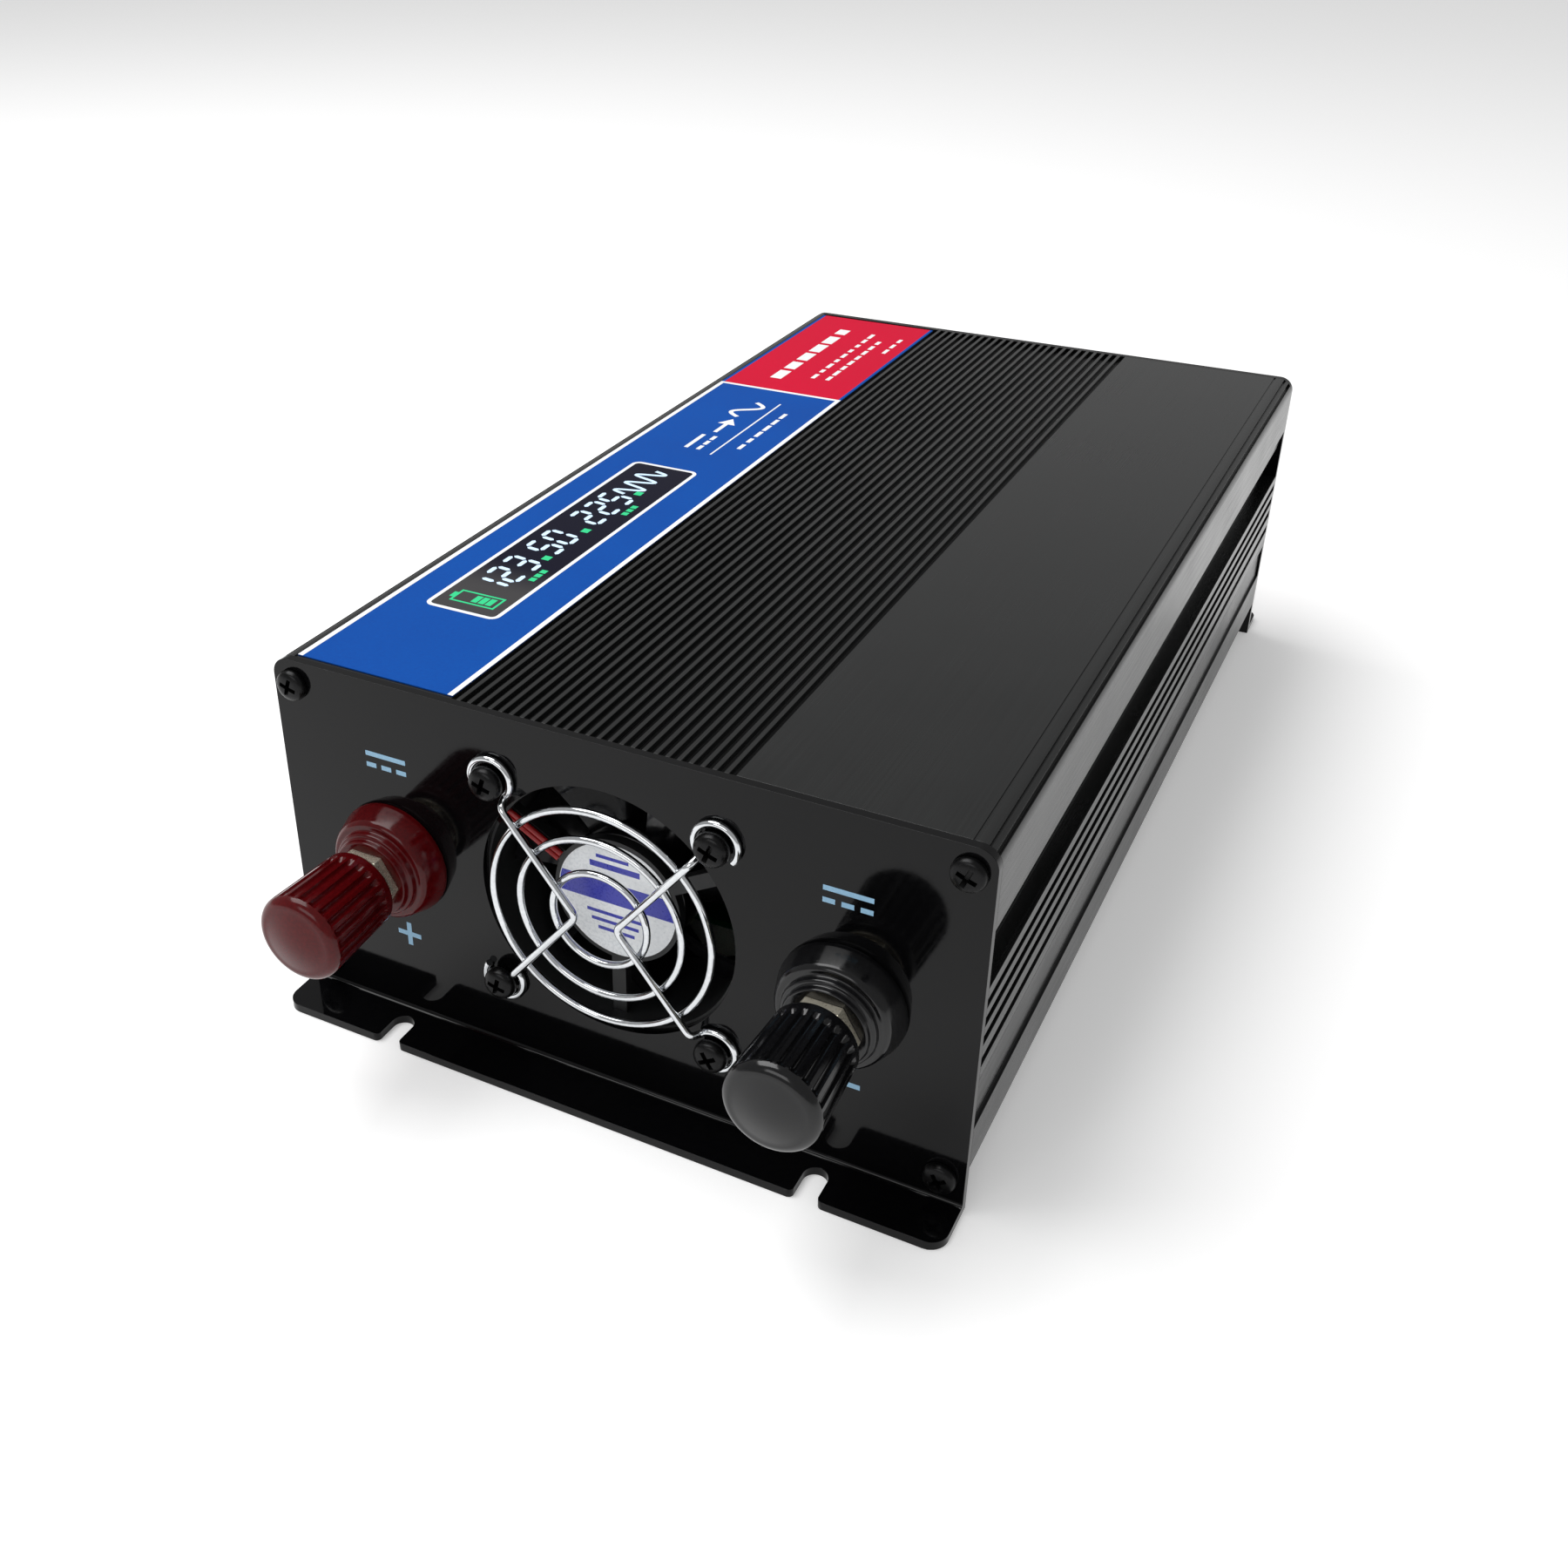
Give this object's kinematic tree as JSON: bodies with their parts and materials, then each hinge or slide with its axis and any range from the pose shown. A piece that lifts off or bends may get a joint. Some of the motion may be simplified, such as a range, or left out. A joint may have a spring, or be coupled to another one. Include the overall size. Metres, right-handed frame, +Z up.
{
  "type": "power inverter",
  "caption": "DC to AC power inverter: ribbed aluminium case, bent end panels with slotted feet, guarded fan, two binding posts, mains outlet and rocker switch.",
  "frame": {"origin": "on the resting plane, under the centre of the box that the whole object fills", "axes": "+X to the right across the front panel, +Y from the front panel to the rear panel, +Z up"},
  "size_m": [0.157, 0.326, 0.085],
  "materials": {
    "anodised_dark": "satin",
    "anodised_base": "satin",
    "gloss_black_coat": "gloss",
    "black_screw": "satin",
    "printed_film": "gloss",
    "display_window": "gloss",
    "lcd_glass": "gloss",
    "circuit_board": "satin",
    "plated_steel": "satin",
    "black_moulding": "satin",
    "fan_blade_plastic": "gloss",
    "copper_winding": "satin",
    "brass": "satin",
    "paper_sticker": "satin",
    "chrome_wire": "polished",
    "red_insulation": "satin",
    "black_insulation": "satin",
    "blue_insulation": "satin",
    "red_post_plastic": "gloss",
    "black_post_plastic": "gloss",
    "copper_lug": "satin",
    "insulating_paper": "matte",
    "ferrite": "matte",
    "bobbin_plastic": "matte",
    "capacitor_sleeve": "gloss",
    "silicone_pad": "matte",
    "aluminium_bar": "satin",
    "yellow_core": "matte",
    "green_fuse": "gloss",
    "red_rocker": "gloss"
  },
  "bodies": {
    "case": {"top_shell": "anodised_dark", "base_shell": "anodised_base", "front_panel": "gloss_black_coat", "rear_panel": "gloss_black_coat", "panel_screws": "black_screw", "top_label": "printed_film", "display_lens": "display_window", "lcd_module": "lcd_glass", "display_board": "circuit_board", "display_spacers": "plated_steel", "display_screws": "plated_steel", "fan_frame": "black_moulding", "fan_stator": "copper_winding", "fan_bearings": "brass", "fan_sticker": "paper_sticker", "fan_guard": "chrome_wire", "fan_screws": "black_screw", "fan_nuts": "plated_steel", "fan_lead": "red_insulation", "red_collar": "red_post_plastic", "black_collar": "black_post_plastic", "post_studs": "brass", "post_nuts": "plated_steel", "post_bushes": "black_moulding", "post_lugs": "copper_lug", "post_inner_nuts": "brass", "dc_lead_red": "red_insulation", "dc_lead_black": "black_insulation", "main_board": "circuit_board", "board_standoffs": "plated_steel", "board_screws": "plated_steel", "insulating_sheet": "insulating_paper", "transformer_cores": "ferrite", "transformer_bobbins": "bobbin_plastic", "transformer_windings": "copper_winding", "input_capacitors": "capacitor_sleeve", "output_capacitors": "capacitor_sleeve", "transistors": "black_moulding", "thermal_pads": "silicone_pad", "clamp_bars": "aluminium_bar", "clamp_screws": "plated_steel", "inductor_core": "yellow_core", "inductor_winding": "copper_winding", "fuses": "green_fuse", "control_board": "circuit_board", "ac_outlet": "black_moulding", "outlet_contacts": "brass", "outlet_screws": "plated_steel", "switch_body": "black_moulding", "switch_terminals": "brass", "ac_leads": "blue_insulation"},
    "fan_wheel": {"fan_rotor": "fan_blade_plastic", "fan_shaft": "plated_steel"},
    "red_washer": {"washer_red": "plated_steel"},
    "red_terminal_knob": {"red_knob": "red_post_plastic", "knob_insert_red": "brass"},
    "black_washer": {"washer_black": "plated_steel"},
    "black_terminal_knob": {"black_knob": "black_post_plastic", "knob_insert_black": "brass"},
    "rocker": {"switch_rocker": "red_rocker"}
  },
  "joints": [
    {"name": "fan_spin", "type": "hinge", "parent": "case", "child": "fan_wheel", "pos_m": [0, -0.1145, 0.0455], "axis": [0, 1, 0], "continuous": true},
    {"name": "red_knob_travel", "type": "slide", "parent": "case", "child": "red_washer", "axis": [0, -1, 0], "range_m": [0, 0.005]},
    {"name": "red_knob_turn", "type": "hinge", "parent": "red_washer", "child": "red_terminal_knob", "pos_m": [-0.0515, -0.1485, 0.043], "axis": [0, -1, 0], "range_deg": [0, 1450]},
    {"name": "black_knob_travel", "type": "slide", "parent": "case", "child": "black_washer", "axis": [0, -1, 0], "range_m": [0, 0.005]},
    {"name": "black_knob_turn", "type": "hinge", "parent": "black_washer", "child": "black_terminal_knob", "pos_m": [0.0515, -0.1485, 0.043], "axis": [0, -1, 0], "range_deg": [0, 1450]},
    {"name": "rocker_tilt", "type": "hinge", "parent": "case", "child": "rocker", "pos_m": [0.05, 0.15, 0.045], "axis": [1, 0, 0], "range_deg": [0, 20]}
  ],
  "couplings": [
    {"joint": "red_knob_turn", "follows": "red_knob_travel", "rad_per_m": 5026.5},
    {"joint": "black_knob_turn", "follows": "black_knob_travel", "rad_per_m": 5026.5}
  ]
}
